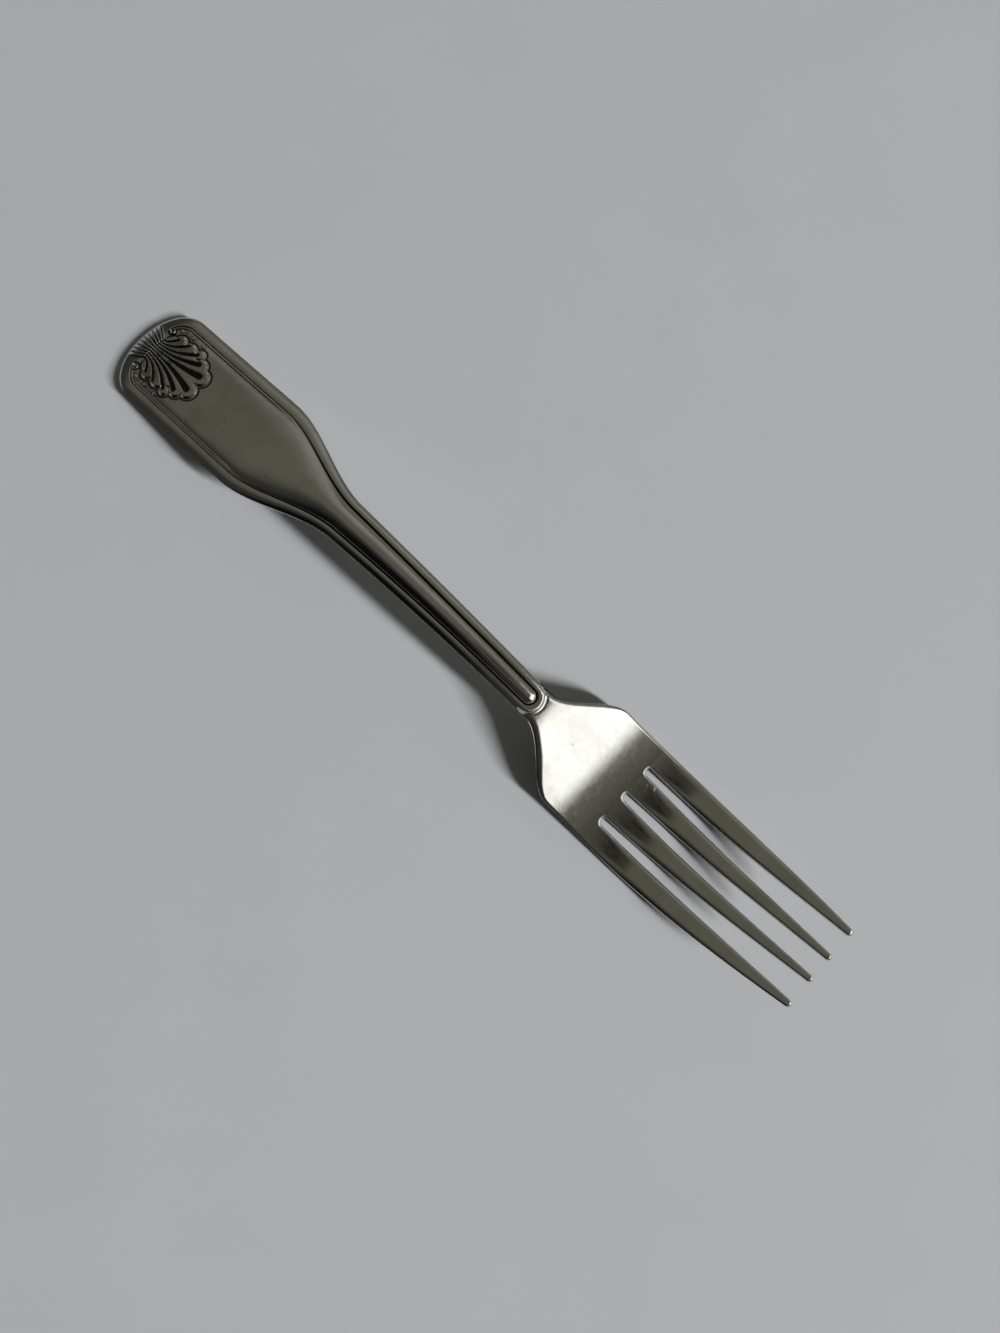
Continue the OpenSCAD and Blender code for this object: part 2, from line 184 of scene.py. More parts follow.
class BorderSizes(PropertyGroup):
    plate_rim: length("Plate rim", "From the plate's edge to the outer thread", 2.5)
    thread_pitch: length("Thread pitch", "Between the plate's two threads", 0.65)
    thread_width: length("Thread width", "Width of a thread groove", 0.45)
    thread_depth: length("Thread depth", "Depth of a thread groove", 0.18)
    thread_end: length("Thread end", "From the handle's end to where the inner thread has faded", 43.0)
    thread_fade: length("Thread fade", "Length over which the inner thread fades", 11.0)
    stem_rim: length("Stem rim", "From the stem's edge to its groove", 1.9)
    stem_groove_width: length("Stem groove width", "Width of the stem's groove", 0.6)
    stem_groove_depth: length("Stem groove depth", "Depth of the stem's groove", 0.4)
    arch_setback: length("Arch setback", "From the neck to the middle of the groove's closing arc", 2.65)
    bead_drop: length("Bead drop", "From the bead at the neck to the palm", 0.35)
    bead_round: length("Bead round", "Width of the bead's sloping side", 0.8)


class ShellSizes(PropertyGroup):
    hinge_setback: length("Hinge setback", "From the handle's end to the hinge", 4.5)
    hinge_reach: length("Hinge reach", "Half the width of the hinge", 2.9)
    fan_reach: length("Fan reach", "Half the width of the fan at the end", 5.5)
    body_middle: length("Body middle", "From the handle's end to the body's middle", 9.0)
    body_reach: length("Body reach", "Reach of the body from its middle", 9.2)
    body_half: length("Body half width", "Half the width of the body", 5.3)
    shell_height: length("Shell height", "Height of the ribs above the plate", 0.4)
    hollow_depth: length("Hollow depth", "Depth of a flute's hollow", 0.4)
    outline_depth: length("Outline depth", "Depth of the line round the body", 0.24)
    scroll_reach: length("Scroll reach", "From the axis to a scroll's middle", 5.4)
    scroll_radius: length("Scroll radius", "Outer radius of a scroll", 0.95)


class SteelFinish(PropertyGroup):
    bright: tint("Bright steel", "Colour of the polished metal", "C6C6C3")
    dull: tint("Dull steel", "Colour where handling has dulled it", "BAB9B2")
    # The cuts' dark colour is partly grime and partly painted shade, darker towards the bottom of each cut
    tarnish: tint("Tarnish", "Colour in the bottom of the grooves", "343330")
    tarnish_depth: length("Tarnish depth", "Depth at which a cut is fully dark", 0.18)
    polish: share("Polish", "Roughness of the polished metal", 0.08)
    haze: share("Haze", "Roughness where handling has dulled it", 0.13)
    scratch_spacing: length("Scratch spacing", "Between fine wear scratches", 0.16)
    scratch_run: length("Scratch run", "Length of a fine wear scratch", 5.0)
    scratch_depth: length("Scratch depth", "Depth of a fine wear scratch", 0.008)
    grain: length("Grain", "Size of the tumbled grain", 0.2)
    grain_depth: length("Grain depth", "Depth of the tumbled grain", 0.014)
    smudge: length("Smudge", "Size of a dull patch", 7.0)
    ding_spacing: length("Ding spacing", "Between small dents", 5.0)
    ding_depth: length("Ding depth", "Depth of a small dent", 0.03)


class StageSettings(PropertyGroup):
    table: tint("Table", "Colour of the pale table", "B3B5B8")
    horizon: tint("Horizon", "Colour of the room at table level", "A9ABAE")
    overhead: tint("Overhead", "Colour of the room above", "6C6B60")
    lit_side: tint("Lit side", "Colour of the room on the fork's left", "989995")
    shaded_side: tint("Shaded side", "Colour of the room on the fork's right", "3C3C3A")
    dark_patch: tint("Dark patch", "Colour of the dark things on that side and of the camera", "101012")
    key_power: FloatProperty(
        name="Key power", description="Watts of the key lamp", default=476.0, unit="POWER")
    card_power: FloatProperty(
        name="Card power", description="Watts of the lit card", default=1.16, unit="POWER")
    camera_place: FloatVectorProperty(
        name="Camera place", description="Where the camera stands", subtype="TRANSLATION", unit="LENGTH",
        default=(0.01858, -0.02374, 0.21053))
    camera_turn: FloatVectorProperty(
        name="Camera turn", description="How the camera is turned", subtype="EULER", unit="ROTATION",
        default=(math.radians(6.742), math.radians(-2.984), math.radians(43.429)))


class ForkSettings(PropertyGroup):
    handle: PointerProperty(type=HandleSizes)
    stem: PointerProperty(type=StemSizes)
    head: PointerProperty(type=HeadSizes)
    tines: PointerProperty(type=TineSizes)
    profile: PointerProperty(type=ProfileSizes)
    border: PointerProperty(type=BorderSizes)
    shell: PointerProperty(type=ShellSizes)
    finish: PointerProperty(type=SteelFinish)
    stage: PointerProperty(type=StageSettings)


SIZE_GROUPS = ("handle", "stem", "head", "tines", "profile", "border", "shell")


def clamp(u):
    return np.clip(u, 0.0, 1.0)


def smooth(u):
    u = clamp(u)
    return u * u * (3 - 2 * u)


def mix(a, b, u):
    return a + (b - a) * u


def notch(u):
    """A groove's profile: 1 in its middle and 0 from its sides outwards."""
    return np.where(np.abs(u) < 1, (1 + np.cos(np.pi * np.clip(u, -1, 1))) / 2, 0.0)


def dome(u):
    """A quarter round: 0 at its foot and level at 1."""
    return np.sqrt(np.maximum(0, 1 - (1 - clamp(u)) ** 2))


def run(start, end, step):
    """Stations after start, as far as end, about a step apart."""
    count = max(1, round((end - start) / step))
    return [mix(start, end, (k + 1) / count) for k in range(count)]


class ForkForm:
    """The fork's plan, side view and relief, worked out from the panel's sizes."""

    # Each flute of the shell's left half, from the axis outwards: the middle of its hollow's round
    # end, its lobe's middle, the hollow's half width and the lobe's radius. Places are from the
    # handle's end and the axis, and all are in millimetres
    FLUTES = (
        ((17.35, 1.9), (17.85, 1.9), 0.93, 2.0),
        ((15.3, 3.8), (15.75, 3.45), 0.68, 1.85),
        ((13.35, 5.1), (13.8, 5.3), 0.55, 1.3),
        ((10.3, 5.4), (11.05, 4.3), 0.5, 2.05),
        ((7.35, 4.85), (7.95, 4.75), 0.42, 1.6),
    )
    # Leaf beads between the lobes and the border: place and radius, in millimetres
    BEADS = (((12.6, 7.2), 0.4), ((9.3, 7.15), 0.42), ((6.1, 6.95), 0.36))
    # How far along and across a flute its bend lies, and the points of its middle line
    FLUTE_BEND = np.array((0.62, 0.14))
    FLUTE_POINTS = 41
    # Direction that the side of the shell's body faces, back along the fork and out from the axis
    BODY_SIDE = (0.87, 0.49)

    def __init__(self, settings):
        for group in SIZE_GROUPS:
            sizes = getattr(settings, group)
            for name in type(sizes).__annotations__:
                setattr(self, name, getattr(sizes, name))
        self.stem_x = self.plate_length + self.waist_length
        self.neck_x = self.stem_x + self.stem_length
        self.palm_x = self.neck_x + self.shoulder_length
        self.slot_x = self.palm_x + self.palm_length
        self.tip_x = self.slot_x + self.tine_length
        self.belly_x = self.slot_x + self.belly_setback
        self.plate_half = self.plate_width / 2
        self.stem_half = self.stem_width / 2
        self.neck_half = self.neck_width / 2
        self.shoulder_half = self.shoulder_width / 2
        self.slot_half = self.slot_width / 2
        self.slot_y = self.slot_spacing / 2
        # The slot's round root is centred here, and the groove round the rib's end there
        self.root_x = self.slot_x + self.slot_half
        self.arch_x = self.neck_x - self.arch_setback
        self.arch_radius = float(self.half_width(self.arch_x)) - self.stem_rim
        # The shell's relief ends here
        self.shell_end = max(lobe[0] + radius for _, lobe, _, radius in self.FLUTES) * MM + MM
        # The last two columns stand close together, which keeps the edge crisp
        turns = np.append(np.linspace(0, 0.98, EDGE_COLUMNS - 1), 1) * self.edge_turn
        self.edge_shares = 1 - np.sin(turns) / math.sin(self.edge_turn)
        # Knots of the side view: x, height of the metal's middle and slope. From the belly back to
        # the crest the slope changes evenly between the knots, which gives their heights
        knots = [(self.belly_x, float(self.thickness(self.belly_x)) / 2, 0)]
        for x, angle in (
                (self.slot_x - self.palm_reach, self.palm_angle),
                (self.neck_x + self.drop_reach, self.drop_angle),
                (self.neck_x, self.neck_angle), (self.neck_x - self.crest_setback, 0)):
            x1, z1, slope1 = knots[0]
            slope0 = -math.tan(angle)
            knots.insert(0, (x, z1 - (x1 - x) * (slope0 + slope1) / 2, slope0))
        knots.insert(0, (0, self.plate_thickness / 2, math.tan(self.plate_angle)))
        self.knots = np.array(knots + [(self.tip_x, self.tip_height, math.tan(self.tip_angle))])

    # Side view
    def spine_height(self, x):
        first = np.clip(np.searchsorted(self.knots[:, 0], x, side="right") - 1, 0, len(self.knots) - 2)
        x0, z0, slope0 = self.knots[first].T
        x1, z1, slope1 = self.knots[first + 1].T
        t = (x - x0) / (x1 - x0)
        bend = (x1 - x0) * t * (1 - t) * ((1 - t) * slope0 - t * slope1)
        return mix(z0, z1, t * t * (3 - 2 * t)) + bend

    def place(self, x, y, h):
        """The point at x along the fork, y across it and h above the middle of the metal."""
        step = 0.01 * MM
        angle = np.arctan((self.spine_height(x + step) - self.spine_height(x - step)) / (2 * step))
        return np.stack(
            (x - h * np.sin(angle) - self.tip_x / 2, y, self.spine_height(x) + h * np.cos(angle)), axis=-1)

    def thickness(self, x):
        waist = mix(self.plate_thickness, self.stem_thickness, self.to_stem(x))
        palm = mix(waist, self.palm_thickness, smooth((x - self.neck_x) / self.shoulder_length))
        return mix(palm, self.tip_thickness, clamp((x - self.slot_x) / self.tine_length))

    # Plan view
    def to_stem(self, x):
        return smooth((x - self.plate_length) / self.waist_length)

    def half_width(self, x):
        waist = mix(self.plate_half, self.stem_half, self.to_stem(x))
        taper = clamp((self.neck_x - x) / self.stem_length) ** self.stem_curve
        stem = mix(self.neck_half, self.stem_half, taper)
        shoulder = mix(self.neck_half, self.shoulder_half, smooth((x - self.neck_x) / self.shoulder_length))
        to_belly = smooth((x - self.palm_x) / (self.belly_x - self.palm_x))
        head = mix(self.shoulder_half, self.head_width / 2, to_belly)
        return np.where(x < self.stem_x, waist,
                        np.where(x < self.neck_x, stem, np.where(x < self.palm_x, shoulder, head)))

    def side_stretch(self, x):
        step = 0.05 * MM
        return np.hypot(1, (self.half_width(x + step) - self.half_width(x - step)) / (2 * step))

    def end_point(self, angle, inset):
        """The rounded end set in by a distance, at an angle from the axis."""
        bow = 2 / self.end_power
        return (inset + (self.end_depth - inset) * (1 - math.cos(angle) ** bow),
                (self.plate_half - inset) * math.sin(angle) ** bow)

    def end_at(self, y, inset):
        """The x of that curve at a distance from the axis."""
        across = clamp(np.abs(y) / (self.plate_half - inset)) ** self.end_power
        return inset + (self.end_depth - inset) * (1 - (1 - across) ** (1 / self.end_power))

    def slot_gap(self, x):
        """Half the width to which a slot is open at x, from its round root."""
        return self.slot_half * float(dome((x - self.slot_x) / self.slot_half))

    def tip_share(self, x):
        """The share of a tine's size that its rounded tip leaves at x, which is blunt at the end."""
        reach, blunt = self.tip_width / 2, 0.1
        return math.sqrt(max(blunt, 1 - float(clamp((x - self.tip_x + reach) / reach)) ** 2))

    def tine_sides(self, x):
        """Distances of the inner and the outer tine's two sides from the axis."""
        along = float(clamp((x - self.root_x) / (self.tip_x - self.root_x)))
        filled = self.slot_half - self.slot_gap(x)
        inner, outer = self.inner_tip_spacing / 2, self.outer_tip_spacing / 2
        tip = self.tip_width / 2
        past_belly = float(clamp((x - self.belly_x) / (self.tip_x - self.belly_x)))
        sides = (
            (mix(self.slot_half, inner - tip, along) - filled,
             mix(self.slot_y - self.slot_half, inner + tip, along ** self.inner_curve) + filled),
            (mix(self.slot_y + self.slot_half, outer - tip, along ** self.slot_curve) - filled,
             mix(float(self.half_width(x)), outer + tip, past_belly ** self.outer_curve)),
        )
        kept = self.tip_share(x)
        return tuple(tuple(mix((near + far) / 2, side, kept) for side in (near, far)) for near, far in sides)

    def tine_radius(self, near, far):
        return min(self.tip_thickness, far - near) * self.tine_rounding

    # Columns of one station: x, y, distance from the outline and from the nearest slot, and the
    # rounding of both. The last column is the far side of the slit between the tines
    def rim(self, x):
        return mix(self.plate_rim, self.stem_rim, self.to_stem(x))

    def groove_half(self, x):
        return mix(self.thread_width, self.stem_groove_width, self.to_stem(x)) / 2

    def rim_reach(self, x):
        """How far in the handle's edge rolls over."""
        roll = mix(self.plate_roll, self.stem_roll, self.to_stem(x))
        return roll * (self.rim(x) - self.groove_half(x))

    def border_lines(self, x):
        across = np.linspace(1, -1, GROOVE_COLUMNS)
        rim, half, reach = self.rim(x), self.groove_half(x), self.rim_reach(x)
        return np.concatenate((
            rim + self.thread_pitch + half * across,
            rim + half * across,
            [(rim - half + reach) / 2],
            reach * self.edge_shares,
        ))

    def end_columns(self, angle):
        lines = self.border_lines(0)
        x0, reach = self.end_point(angle, lines[0])
        border = np.array([self.end_point(angle, d) for d in lines])
        inner = np.linspace(0, 1, PANEL_COLUMNS, endpoint=False)
        x = np.concatenate((np.full(PANEL_COLUMNS, x0), border[:, 0]))
        y = np.concatenate((inner * reach, border[:, 1]))
        d = np.concatenate((np.full(PANEL_COLUMNS, 2 * lines[0]), lines))
        return x, y, d

    def side_columns(self, x):
        lines = self.border_lines(min(x, self.arch_x))
        width, stretch = float(self.half_width(x)), float(self.side_stretch(x))
        inner = np.linspace(0, 1, PANEL_COLUMNS, endpoint=False) * (width - lines[0] * stretch)
        return np.concatenate((inner, width - lines * stretch))

    def tine_columns(self, x):
        """The columns across an inner and an outer tine."""
        (near, far), (outer_near, outer_far) = self.tine_sides(x)
        radius, outer_radius = self.tine_radius(near, far), self.tine_radius(outer_near, outer_far)
        rounded = len(SLOT_ROUND)
        middle = SLIT_COLUMN + 1 - 2 * rounded
        inner = np.concatenate((
            near + radius * SLOT_ROUND,
            mix(near + radius, far - radius, (1 - np.cos(np.linspace(0, math.pi, middle + 2)[1:-1])) / 2),
            far - radius * SLOT_ROUND[::-1],
        ))
        last = PANEL_COLUMNS + 2 * GROOVE_COLUMNS + 1 + EDGE_COLUMNS
        side = self.outer_reach(x)
        middle = last - SLIT_COLUMN - rounded - EDGE_COLUMNS
        outer = np.concatenate((
            outer_near + outer_radius * SLOT_ROUND,
            np.linspace(outer_near + outer_radius, outer_far - side, middle + 2)[1:-1],
            outer_far - side * self.edge_shares,
        ))
        return inner, outer

    def outer_reach(self, x):
        """How far in the outer edge rolls over."""
        near, far = self.tine_sides(max(x, self.slot_x))[1]
        steepest = self.neck_x + self.drop_reach
        dropped = float(smooth((x - steepest) / (self.palm_x - steepest)))
        head = mix(self.rim_reach(x), self.head_edge, dropped)
        along = float(smooth((x - self.slot_x) / self.tine_length))
        return mix(head, self.tine_radius(near, far), along)

    def slot_distance(self, x, y, outer):
        """Distance of a head's point from the nearest slot."""
        if x < self.root_x:
            return min(math.hypot(x - self.root_x, y - s) for s in (0, self.slot_y)) - self.slot_half
        near, far = self.tine_sides(x)[outer]
        return y - near if outer else min(y - near, far - y)

    def station(self, angle, x):
        """Rows of x, y, d, slot distance, edge radius and slot radius for a station's columns."""
        if x < self.end_depth:
            xs, ys, ds = self.end_columns(angle)
        elif x < self.slot_x:
            ys = self.side_columns(x)
            if x > self.neck_x:
                inner, outer = self.tine_columns(self.slot_x)
                head = np.concatenate((inner, outer[1:])) * self.half_width(x) / self.half_width(self.slot_x)
                ys = mix(ys, head, smooth((x - self.neck_x) / (self.slot_x - self.neck_x)))
            xs = np.full(len(ys), x)
            ds = (self.half_width(x) - ys) / self.side_stretch(x)
        else:
            inner, outer = self.tine_columns(x)
            ys = np.concatenate((inner, outer[1:]))
            xs = np.full(len(ys), x)
            ds = self.tine_sides(x)[1][1] - ys
            # An inner tine has no side on the outline
            ds[:SLIT_COLUMN + 1] = self.plate_rim
        rows = [np.append(r, r[SLIT_COLUMN]) for r in (xs, ys, ds)]
        if x >= self.slot_x:
            rows[1][-1] = outer[0]
        away = np.full(len(rows[0]), self.slot_width)
        slot_radius = self.tine_radius(*self.tine_sides(max(x, self.slot_x))[0])
        if x > self.slot_x - self.slot_width:
            outside = [k > SLIT_COLUMN for k in range(len(away))]
            away = np.array([self.slot_distance(x, y, o) for y, o in zip(rows[1], outside)])
        rounding = [np.full(len(away), r) for r in (self.outer_reach(x), slot_radius)]
        return np.stack(rows + [away] + rounding)

    def stations(self):
        """Stations as an angle round the handle's end and a distance along the fork."""
        end = [(a, 0.0) for a in np.radians(np.linspace(0, 90, END_STATIONS, endpoint=False))]
        along = [self.end_depth]
        # Where each stretch ends, and its step in millimetres
        for goal, step in (
                (self.shell_end, 0.12), (self.plate_length, 0.8), (self.stem_x, 0.5), (self.arch_x - MM, 1.2),
                (self.neck_x + 2 * MM, 0.12), (self.slot_x - MM, 0.7), (self.slot_x, 0.12)):
            along += run(along[-1], goal, step * MM)
        # The slots' round roots and the tines' round tips are stepped by angle
        along += [self.root_x - self.slot_half * math.cos(a) for a in np.radians(np.linspace(9, 90, 10))]
        tip_start = self.tip_x - self.tip_width / 2
        along += run(along[-1], tip_start, 1.1 * MM)
        along += [mix(tip_start, self.tip_x, math.sin(a)) for a in np.radians(np.linspace(11, 90, 8))]
        shell_rows = len(end) + sum(x < self.shell_end + SAME for x in along)
        return end + [(math.pi / 2, x) for x in along], shell_rows

    # Relief struck into the face
    def from_groove(self, x, y, d):
        """Distance inside the middle of the outer groove, which runs round the rib's end."""
        return np.where(x < self.arch_x, d - self.rim(x), self.arch_radius - np.hypot(x - self.arch_x, y))

    def grooves(self, x, y, q):
        to_stem, half = self.to_stem(x), self.groove_half(x)
        begun = np.where(x < self.end_depth, smooth((y - self.scroll_reach) / self.scroll_radius), 1.0)
        outer = mix(self.thread_depth, self.stem_groove_depth, to_stem) * notch(q / half)
        faded = smooth((x - self.thread_end + self.thread_fade) / self.thread_fade)
        inner = self.thread_depth * (1 - faded) * notch((q - self.thread_pitch) / half)
        return begun * (outer + inner)

    def rib(self, x, q):
        """Height of the swell between the grooves, which becomes the stem's rib."""
        at = np.minimum(x, self.arch_x)
        flat = 1 - self.to_stem(x)
        room = self.half_width(at) - self.rim(at) - self.groove_half(at)
        broad = smooth((x - self.rib_start) / (self.plate_length + self.rib_broad - self.rib_start))
        reach = np.minimum(room, self.rib_reach * (1 + self.rib_spread * flat))
        reach = mix(reach, room, broad)
        begun = smooth((x - self.rib_start) / (self.plate_length + self.waist_length / 2 - self.rib_start))
        past_end = smooth((x - self.hinge_setback) / self.end_depth)
        begun = mix(self.pillow * past_end, 1, begun)
        across = clamp((q - self.groove_half(x)) / reach)
        height = self.rib_height * begun * np.minimum(1, reach / self.rib_reach)
        edge = clamp((q - self.groove_half(x)) / self.rib_edge_reach)
        edge = self.rib_edge * flat * past_end * (1 - (1 - edge) ** 2)
        return edge + height * (1 - (1 - across) ** (2 + flat * mix(1, self.rib_crest, broad)))

    def bead_step(self, x, q):
        """Drop from the bead round the rib's end to the palm, and the line at its foot.

        The line is as wide as the drop is deep, and half as deep.
        """
        past = -(q + self.stem_rim)
        fades = np.where(x < self.arch_x, 0.0, 1 - smooth((x - self.neck_x) / self.shoulder_length))
        foot = np.where(x < self.arch_x, 0.0, 0.5 * self.bead_drop * notch(2 * past / self.bead_drop - 1.5))
        return self.bead_drop * smooth(1 + past / self.bead_round) * fades, foot

    def flute(self, x, y, k):
        """How far each point lies from a flute's middle line, and how far along it."""
        end = np.array(self.FLUTES[k][0]) * MM
        start = np.array((self.hinge_setback, self.hinge_reach * (2 * k + 1) / (2 * len(self.FLUTES))))
        bend = mix(start, end, self.FLUTE_BEND)
        t = np.linspace(0, 1, self.FLUTE_POINTS)[:, None]
        path = (1 - t) ** 2 * start + 2 * t * (1 - t) * bend + t * t * end
        nearest = np.full(x.shape, 1.0)
        along = np.zeros(x.shape)
        for i in range(len(path) - 1):
            (ax, ay), (bx, by) = path[i], path[i + 1]
            part = (bx - ax, by - ay)
            u = clamp(((x - ax) * part[0] + (y - ay) * part[1]) / (part[0] ** 2 + part[1] ** 2))
            away = np.hypot(x - ax - u * part[0], y - ay - u * part[1])
            closer = away < nearest
            nearest = np.where(closer, away, nearest)
            along = np.where(closer, (i + u) / (len(path) - 1), along)
        return nearest, along

    def body_outside(self, x, y):
        """Distance outside the shell's scalloped body."""
        across, up = (x - self.body_middle) / self.body_reach, y / self.body_half
        k = np.hypot(across, up)
        outside = k * (k - 1) / np.maximum(1e-6, np.hypot(across / self.body_reach, up / self.body_half))
        for _, middle, _, radius in self.FLUTES:
            away = np.hypot(x - middle[0] * MM, y - middle[1] * MM)
            outside = np.minimum(outside, away - radius * MM)
        # The body's side runs from the hinge to its last lobe
        back, out = self.BODY_SIDE
        return np.maximum(outside, (self.hinge_setback - x) * back + (y - self.hinge_reach) * out)

    def shell(self, x, y):
        """Height of the shell above the plate, and how deep each point lies in a cut."""
        outside = self.body_outside(x, y)
        hinge_step, side_slope, line_place, line_half = 0.1 * MM, 0.6 * MM, 0.26 * MM, 0.38 * MM
        beyond = smooth((x - self.hinge_setback) / hinge_step)
        height = beyond * self.shell_height * smooth(-outside / side_slope)
        cut = beyond * self.outline_depth * notch((outside - line_place) / line_half)
        # At the hinge a hollow has this half width, in millimetres, and this share of its depth
        first_half, first_depth = 0.15, 0.45
        # How late it widens, how soon it deepens, and the share of its half width that slopes
        widening, deepening, sloping = 1.1, 1.6, 0.5
        for k, (_, _, last_half, _) in enumerate(self.FLUTES):
            away, along = self.flute(x, y, k)
            half = mix(first_half, last_half, along ** widening) * MM
            depth = mix(first_depth, 1, smooth(along * deepening)) * self.hollow_depth
            cut = np.maximum(cut, beyond * depth * smooth((half - away) / (sloping * half)))
        # Short ribs fan out from the hinge to the handle's end, and sink over the last part of it
        inset, spreading, side_share, fan_cut, fan_crest = 0.2 * MM, 0.8, 0.1, 0.75, 1.6
        sunk, sink_start, sink_run = 0.8, 0.55, 0.45
        reach = np.maximum(inset, self.hinge_setback - self.end_at(y, inset))
        out = clamp((self.hinge_setback - x) / reach)
        across = y / mix(self.hinge_reach, self.fan_reach, out ** spreading)
        ribs = np.cos(np.pi * across * len(self.FLUTES)) ** 2
        fan = (1 - beyond) * smooth((1 - across) / side_share)
        fall = 1 - sunk * smooth((out - sink_start) / sink_run)
        height = height + fan * self.shell_height * fall
        cut = np.maximum(cut, fan * fall * fan_cut * self.hollow_depth * (1 - ribs) ** fan_crest)
        # A fold crosses the hinge
        fold_half, fold_fade, fold_cut = 0.24 * MM, 0.3 * MM, 0.6
        fold = notch((x - self.hinge_setback) / fold_half)
        fold = fold * smooth((self.hinge_reach - y) / fold_fade + 1)
        cut = np.maximum(cut, fold_cut * self.hollow_depth * fold)
        # Beads, and the line round each, whose middle and half width are shares of the bead's radius
        bead_height, bead_cut, bead_stretch, ring, ring_half = 0.3 * MM, 0.16 * MM, 0.75, 1.1, 0.5
        for (bx, by), radius in self.BEADS:
            away = np.hypot((x - bx * MM) * bead_stretch, y - by * MM) / (radius * MM)
            height = height + bead_height * dome(1 - away)
            cut = np.maximum(cut, bead_cut * notch((away - ring) / ring_half))
        return height, cut

    def scroll(self, x, y):
        """Height of the scroll's half-round ridge, which winds in to an eye, and the cut round it."""
        thick, turns, first_angle = 0.22 * self.scroll_radius, 1.3, 200
        eye, rise = 0.9 * thick, 1.4 * thick
        depth, margin, side_slope = 0.28 * MM, 0.2 * MM, 0.25 * MM
        dx, dy = x - self.hinge_setback, y - self.scroll_reach
        away, angle = np.hypot(dx, dy), np.degrees(np.arctan2(dy, dx))
        ridge = np.zeros(x.shape)
        for lap in (-1, 0, 1):
            u = (first_angle - angle + 360 * lap) / (360 * turns)
            off = np.abs(away - mix(self.scroll_radius - thick, eye, u)) / thick
            ridge = np.maximum(ridge, np.where((u > 0) & (u < 1), dome(1 - off), 0))
        cut = depth * smooth((self.scroll_radius + margin - away) / side_slope) * (1 - ridge)
        return rise * ridge, cut

    def face(self, x, y, d):
        """Relief of the face, and how deep each point lies in a cut, for points of the left half."""
        q = self.from_groove(x, y, d)
        step, foot = self.bead_step(x, q)
        cut = self.grooves(x, y, q) + foot
        height = self.rib(x, q) - step - cut
        near = x < self.shell_end
        shell, shell_cut = self.shell(x[near], y[near])
        scroll, scroll_cut = self.scroll(x[near], y[near])
        off_shell = shell < 0.05 * MM
        height[near] += np.maximum(shell - shell_cut, scroll - scroll_cut * off_shell)
        cut[near] = np.maximum(cut[near], np.maximum(shell_cut, scroll_cut))
        return height, cut

    def crown(self, x, d, slot):
        """How far the tines' faces fall to their sides, most of all a third of the way along."""
        along = (x - self.slot_x) / self.tine_length
        before_root, grown, reach_at_tip = 0.01, 0.38, 0.4
        shown = smooth((along + before_root) / grown) * (1 - clamp(along))
        side = np.minimum(np.where(x < self.slot_x, self.plate_rim, d), slot)
        reach = self.crown_reach * mix(1, reach_at_tip, clamp(along))
        return self.tine_crown * shown * clamp(1 - side / reach) ** 2

    def surface(self, rows, upper):
        """Points of the upper or lower surface, and each point's depth in a cut."""
        x, y, d, slot, edge_reach, slot_radius = rows
        plate_turn = mix(self.end_turn, self.plate_turn, smooth(x / self.end_depth))
        turn = np.sin(mix(plate_turn, self.edge_turn, self.to_stem(x)))
        late = mix(self.end_late, 1, smooth(x / self.end_depth))
        rolled = edge_reach / turn * (1 - np.sqrt(1 - (turn * (1 - clamp(d / edge_reach)) ** late) ** 2))
        slotted = slot_radius * (1 - dome(slot / slot_radius))
        # A tip keeps this share of its thickness, no edge rolls over further than this share, and the
        # handle's end thins by this power of the way to its edge
        tip_kept, most_drop, thinning = 0.5, 0.45, 1.5
        whole = self.thickness(x) * np.array([max(tip_kept, self.tip_share(v)) for v in x])
        # The face rolls over a little, and the back is rounded up to the land below it
        broken = edge_reach / turn * (1 - np.sqrt(1 - turn ** 2))
        face_drop = np.minimum(rolled + slotted, most_drop * whole)
        thinned = self.end_fall * clamp(1 - d / self.end_reach) ** thinning * (1 - smooth(x / self.end_depth))
        face_drop = face_drop + thinned + self.crown(x, d, slot)
        back_drop = (1 - self.edge_land) * (whole - broken - thinned) * (1 - dome(d / edge_reach)) + slotted
        back_drop = np.minimum(back_drop, (1 - self.edge_land) * (whole - face_drop))
        relief, cut = self.face(x, y, d)
        height = np.where(upper, whole / 2 - face_drop + relief, back_drop - whole / 2)
        return self.place(x, y, height), np.where(upper, cut, 0.0)


def add_node(tree, kind, settings=(), values=(), links=()):
    """Adds a node with its settings, the values of its inputs and the sockets that feed them."""
    made = tree.nodes.new(kind)
    for name, value in dict(settings).items():
        setattr(made, name, value)
    for name, value in dict(values).items():
        made.inputs[name].default_value = value
    for name, socket in dict(links).items():
        tree.links.new(socket, made.inputs[name])
    return made


def new_material(name):
    """An empty node material, its tree and the two ends of its network."""
    material = bpy.data.materials.new(name)
    material.use_nodes = True
    tree = material.node_tree
    tree.nodes.clear()
    shader = add_node(tree, "ShaderNodeBsdfPrincipled")
    add_node(tree, "ShaderNodeOutputMaterial", links={"Surface": shader.outputs["BSDF"]})
    return material, tree, shader


def rgba(colour):
    return (*colour, 1.0)


def noise(tree, place, size, detail, roughness=0.5):
    """Noise whose largest forms are of a size."""
    return add_node(
        tree, "ShaderNodeTexNoise", values={"Scale": 1 / size, "Detail": detail, "Roughness": roughness},
        links={"Vector": place}).outputs["Fac"]


def fade(tree, value, start, end, low=0.0, high=1.0, easing="SMOOTHSTEP"):
    """A number that goes from low to high while a value goes from start to end."""
    return add_node(
        tree, "ShaderNodeMapRange", {"interpolation_type": easing},
        {"From Min": start, "From Max": end, "To Min": low, "To Max": high},
        {"Value": value}).outputs["Result"]


